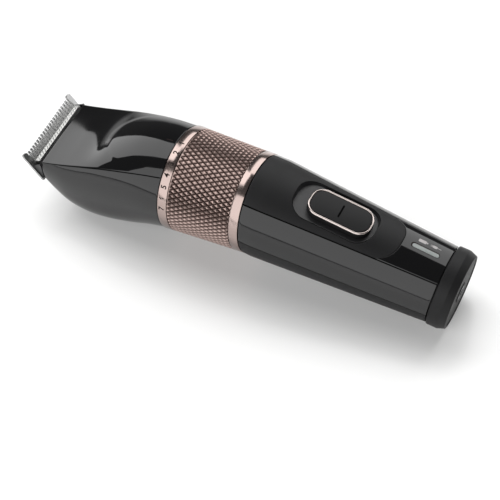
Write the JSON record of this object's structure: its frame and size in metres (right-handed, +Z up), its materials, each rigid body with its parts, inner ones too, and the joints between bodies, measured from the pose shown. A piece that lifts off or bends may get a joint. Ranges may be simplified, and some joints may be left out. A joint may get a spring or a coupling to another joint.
{
  "type": "hair clipper",
  "caption": "Cordless hair clipper lying on its back: T-blade, sculpted gloss head, knurled length-setting ring, tapering handle with a slide switch and charging socket.",
  "frame": {"origin": "on the resting surface under the middle of the clipper's length and width", "axes": "+X towards the charging socket at the tail, +Y across the handle, +Z up, the side with the switch"},
  "size_m": [0.1904, 0.044, 0.0484],
  "materials": {
    "gloss_black": "piano black, high gloss",
    "soft_black": "soft-touch matte",
    "rose_gold": "satin rose gold",
    "bright_trim": "bright rose-silver plating",
    "blade_steel": "ground steel",
    "plain_steel": "drawn steel",
    "inner_black": "moulded, satin",
    "inner_white": "acetal, satin",
    "copper": "bare copper alloy",
    "bronze": "sintered bronze",
    "nickel": "nickel plate",
    "magnet": "ferrite, matt",
    "cell_wrap": "shrink wrap",
    "board_green": "solder mask",
    "light_guide": "frosted clear plastic",
    "red_lead": "silicone insulation"
  },
  "bodies": {
    "clipper_body": {"head_front_casing": "gloss_black", "head_rear_casing": "gloss_black", "fixed_blade": "blade_steel", "blade_bracket": "inner_black", "motor_wires": "red_lead", "spine_panel": "soft_black", "display_panel": "gloss_black", "led_light_pipe": "light_guide", "side_panel_left": "gloss_black", "side_panel_right": "gloss_black", "back_shell": "soft_black", "end_cap": "soft_black", "switch_tray": "inner_black", "neck_tube": "inner_black", "detent_plunger": "plain_steel", "detent_spring": "plain_steel", "detent_clip": "inner_black", "motor_can": "nickel", "motor_end_bell": "inner_black", "motor_bushes": "bronze", "motor_magnets": "magnet", "motor_bracket": "inner_black", "motor_screws": "plain_steel", "battery_cell": "cell_wrap", "battery_contacts": "nickel", "battery_cradle": "inner_black", "circuit_board": "board_green", "board_screws": "plain_steel", "slide_switch": "inner_black", "indicator_leds": "light_guide", "charging_socket": "inner_black", "blade_screws": "plain_steel"},
    "ring": {"adjuster_ring": "rose_gold", "cam_sleeve": "inner_white"},
    "follower": {"cam_follower": "inner_white"},
    "blade_carrier": {"blade_guide": "inner_white", "blade_spring": "plain_steel"},
    "cutter": {"moving_blade": "blade_steel", "blade_driver": "inner_white"},
    "rotor": {"motor_shaft": "plain_steel", "motor_armature": "copper", "eccentric": "inner_white", "eccentric_pin": "plain_steel"},
    "switch": {"switch_button": "soft_black", "switch_bezel": "bright_trim"}
  },
  "joints": [
    {"name": "ring_turn", "type": "hinge", "parent": "clipper_body", "child": "ring", "pos_m": [-0.02873, 0, 0.0262], "axis": [-0.9997, 0, -0.0227], "range_deg": [0, 77.14]},
    {"name": "follower_slide", "type": "slide", "parent": "clipper_body", "child": "follower", "axis": [0.9997, 0, 0.0227], "range_m": [0, 0.0018]},
    {"name": "height_slide", "type": "slide", "parent": "clipper_body", "child": "blade_carrier", "axis": [0.5446, 0, -0.8387], "range_m": [0, 0.0012]},
    {"name": "cutter_stroke", "type": "slide", "parent": "blade_carrier", "child": "cutter", "axis": [0, 1, 0], "range_m": [-0.001, 0.001]},
    {"name": "motor_spin", "type": "hinge", "parent": "clipper_body", "child": "rotor", "pos_m": [-0.04861, 0, 0.02075], "axis": [0.9997, 0, 0.0227], "continuous": true},
    {"name": "switch_slide", "type": "slide", "parent": "clipper_body", "child": "switch", "axis": [-0.9821, 0, 0.1885], "range_m": [0, 0.0035]}
  ],
  "couplings": [
    {"joint": "follower_slide", "follows": "ring_turn", "m_per_rad": 0.0013369},
    {"joint": "height_slide", "follows": "ring_turn", "m_per_rad": 0.00089126}
  ]
}
